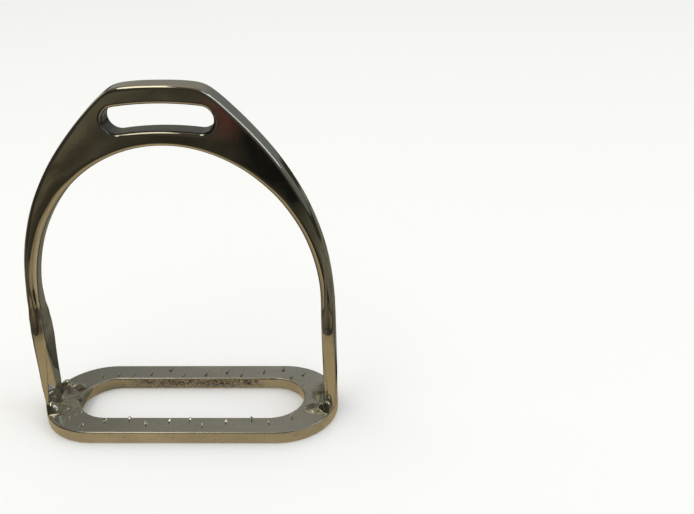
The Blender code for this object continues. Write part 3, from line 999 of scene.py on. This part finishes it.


# Painted reflection, which the floor glows with for glossy rays only, as a bench top with darker things on
# it: centre, reach in x and y (metres), softness, colour.
# Later spots lie over earlier ones.
PAINTED_REFLECTION_BASE = (0.046, 0.042, 0.028)
PAINTED_REFLECTION_SPOTS = [
    ((0.34, 0.00), (0.30, 0.36), 0.35, (0.185, 0.182, 0.135)),
    ((0.00, 0.42), (0.70, 0.44), 0.12, (0.215, 0.205, 0.158)),
    ((-0.22, -0.07), (0.07, 0.10), 0.45, (0.13, 0.113, 0.07)),
    ((-0.24, -0.58), (0.13, 0.22), 0.50, (0.115, 0.108, 0.072)),
    ((-0.20, -0.34), (0.055, 0.15), 0.45, (0.14, 0.122, 0.078)),
    ((-0.045, -0.54), (0.035, 0.13), 0.40, (0.120, 0.052, 0.042)),
    ((0.020, -0.37), (0.055, 0.15), 0.40, (0.010, 0.010, 0.009)),
    ((0.00, -0.060), (0.170, 0.105), 0.10, (0.022, 0.020, 0.014)),
    ((0.16, -0.11), (0.10, 0.11), 0.30, (0.170, 0.165, 0.125)),
    ((-0.085, -0.105), (0.055, 0.055), 0.35, (0.36, 0.29, 0.17)),
    ((0.00, -0.040), (0.130, 0.058), 0.20, (0.47, 0.375, 0.215)),
]
PAINTED_REFLECTION_FAR = 7                  # this many spots of the painted reflection are far off and lie under the painted clutter
# What it sees of the room: heading from the front towards the right, height, both in degrees,
# reach and softness in degrees, colour.
ROOM_BASE = (0.042, 0.039, 0.029)
ROOM_PATCHES = [
    ((80, 5), 62, 45, (0.155, 0.170, 0.160)),
    ((180, 25), 55, 40, (0.30, 0.292, 0.252)),
    ((157, 6), 16, 14, (0.19, 0.205, 0.20)),
    ((-145, 30), 13, 12, (0.13, 0.125, 0.10)),
    ((-160, 60), 12, 10, (0.75, 0.66, 0.46)),
    ((0, 90), 24, 20, (0.26, 0.25, 0.22)),
    ((-10, 18), 10, 12, (0.10, 0.075, 0.05)),
    ((-108, 28), 9, 8, (1.1, 1.0, 0.72)),
    ((48, 50), 8, 7, (1.5, 1.65, 1.8)),
]


def build_floor():
    """A plain pale floor; for glossy rays it glows with a painted reflection of a bench top with darker
    things on it.
    """
    material, nodes, links = new_material("floor")
    shader = nodes["Principled BSDF"]
    shader.inputs["Roughness"].default_value = 0.9
    shader.inputs["Specular IOR Level"].default_value = 0.0
    where = node(nodes, "ShaderNodeTexCoord").outputs["Object"]
    ragged = noise_node(nodes, links, where, 9.0, 3.0)
    painted_clutter = noise_node(nodes, links, where, 16.0, 4.0, (1.0, 0.45, 1.0))
    painted_reflection = PAINTED_REFLECTION_BASE
    for index, ((x, y), (reach_x, reach_y), soft, colour) in enumerate(PAINTED_REFLECTION_SPOTS):
        if index == PAINTED_REFLECTION_FAR:
            painted_reflection = blend_colour(nodes, links, ramp(nodes, links, painted_clutter, 0.48, 0.62, 0.0, 0.6),
                                 painted_reflection, (0.012, 0.011, 0.009))
            painted_reflection = blend_colour(nodes, links, ramp(nodes, links, painted_clutter, 0.30, 0.42, 0.30, 0.0),
                                 painted_reflection, (0.13, 0.115, 0.08))
        mapping = node(nodes, "ShaderNodeMapping")
        mapping.inputs["Location"].default_value = (-x / reach_x, -y / reach_y, 0)
        mapping.inputs["Scale"].default_value = (1 / reach_x, 1 / reach_y, 0)
        links.new(where, mapping.inputs["Vector"])
        away = node(nodes, "ShaderNodeVectorMath", operation="LENGTH")
        links.new(mapping.outputs["Vector"], away.inputs[0])
        edge = math_node(nodes, links, "ADD", away.outputs["Value"],
                         ramp(nodes, links, ragged, 0.3, 0.7, -0.18, 0.18))
        inside = ramp(nodes, links, edge, 1 - soft, 1 + soft, 1.0, 0.0)
        painted_reflection = blend_colour(nodes, links, inside, painted_reflection, colour)
    # Painted reflection: glossy rays see the floor glow with these colours instead of the pale floor.
    path = node(nodes, "ShaderNodeLightPath").outputs["Is Glossy Ray"]
    reflection_glow = node(nodes, "ShaderNodeEmission")
    links.new(painted_reflection, reflection_glow.inputs["Color"])
    mix = node(nodes, "ShaderNodeMixShader")
    links.new(path, mix.inputs[0])
    links.new(shader.outputs["BSDF"], mix.inputs[1])
    links.new(reflection_glow.outputs["Emission"], mix.inputs[2])
    links.new(mix.outputs["Shader"], nodes["Material Output"].inputs["Surface"])
    shader.inputs["Base Color"].default_value = (0.86, 0.86, 0.85, 1.0)
    mesh = bpy.data.meshes.new("floor")
    size = 6.0
    mesh.from_pydata([(-size, -size, 0), (size, -size, 0), (size, size, 0), (-size, size, 0)],
                     [], [(0, 1, 2, 3)])
    mesh.materials.append(material)
    floor = bpy.data.objects.new("floor", mesh)
    floor.location.z = -0.0002
    bpy.context.scene.collection.objects.link(floor)


def heading_vector(heading, height):
    """The direction at a heading from the front (-Y) towards the right (+X), and a height."""
    turn, rise = math.radians(heading), math.radians(height)
    return (math.sin(turn) * math.cos(rise), -math.cos(turn) * math.cos(rise), math.sin(rise))


def build_world():
    """Pale, even light. The polished metal sees a dim room with a few paler parts."""
    world = bpy.data.worlds.new("studio")
    world.use_nodes = True
    bpy.context.scene.world = world
    nodes, links = world.node_tree.nodes, world.node_tree.links
    background = nodes["Background"]
    where = node(nodes, "ShaderNodeTexCoord").outputs["Generated"]
    room = ROOM_BASE
    for (heading, height), reach, soft, colour in ROOM_PATCHES:
        towards = node(nodes, "ShaderNodeVectorMath", operation="DOT_PRODUCT")
        links.new(where, towards.inputs[0])
        towards.inputs[1].default_value = heading_vector(heading, height)
        near = math.cos(math.radians(max(reach - soft / 2, 0)))
        far = math.cos(math.radians(reach + soft / 2))
        inside = ramp(nodes, links, towards.outputs["Value"], far, near, 0.0, 1.0)
        room = blend_colour(nodes, links, inside, room, colour)
    path = node(nodes, "ShaderNodeLightPath").outputs["Is Glossy Ray"]
    sky = blend_colour(nodes, links, path, (0.97, 0.97, 0.97), room)
    links.new(sky, background.inputs["Color"])


def add_light(name, place, target, size, power, colour):
    light = bpy.data.lights.new(name, "AREA")
    light.shape = "RECTANGLE"
    light.size, light.size_y = size
    light.energy = power
    light.color = colour
    lamp = bpy.data.objects.new(name, light)
    lamp.location = place
    aim = Vector(target) - Vector(place)
    lamp.rotation_euler = aim.to_track_quat("-Z", "Y").to_euler()
    bpy.context.scene.collection.objects.link(lamp)
    return lamp


def build_lights():
    add_light("ceiling_strip", (-0.36, -0.30, 1.15), (-0.36, -0.30, 0), (0.34, 1.3), 2.4, (1.0, 0.93, 0.74))
    add_light("right_window", (1.35, -0.12, 1.10), (0, 0, 0.1), (0.5, 1.1), 3.6, (0.86, 0.94, 1.0))


# ---------------------------------------------------------------- assembly
def dress(piece, material, slot, *replaced):
    piece.data.materials.clear()
    piece.data.materials.append(material)
    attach(piece, "root")
    if replaced:
        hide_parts(*replaced)


build_camera()
build_floor()
build_world()
build_lights()
polished = polished_metal()
satin = satin_metal()
weld = weld_metal()
dress(build_bow(), polished, "bow_polished_metal", "bow")
dress(build_tread(), satin, "tread_satin_metal", "tread")
dress(build_teeth(), satin, "tread_satin_metal")
left_weld = build_weld("left_weld", LEFT_LUMPS, LEFT_PITS, 1.0)
right_weld = build_weld("right_weld", RIGHT_LUMPS, RIGHT_PITS, 4.0)
dress(left_weld, weld, "weld_metal", "left_weld_bead")
dress(right_weld, weld, "weld_metal", "right_weld_bead")
bpy.context.scene.view_settings.view_transform = "Standard"
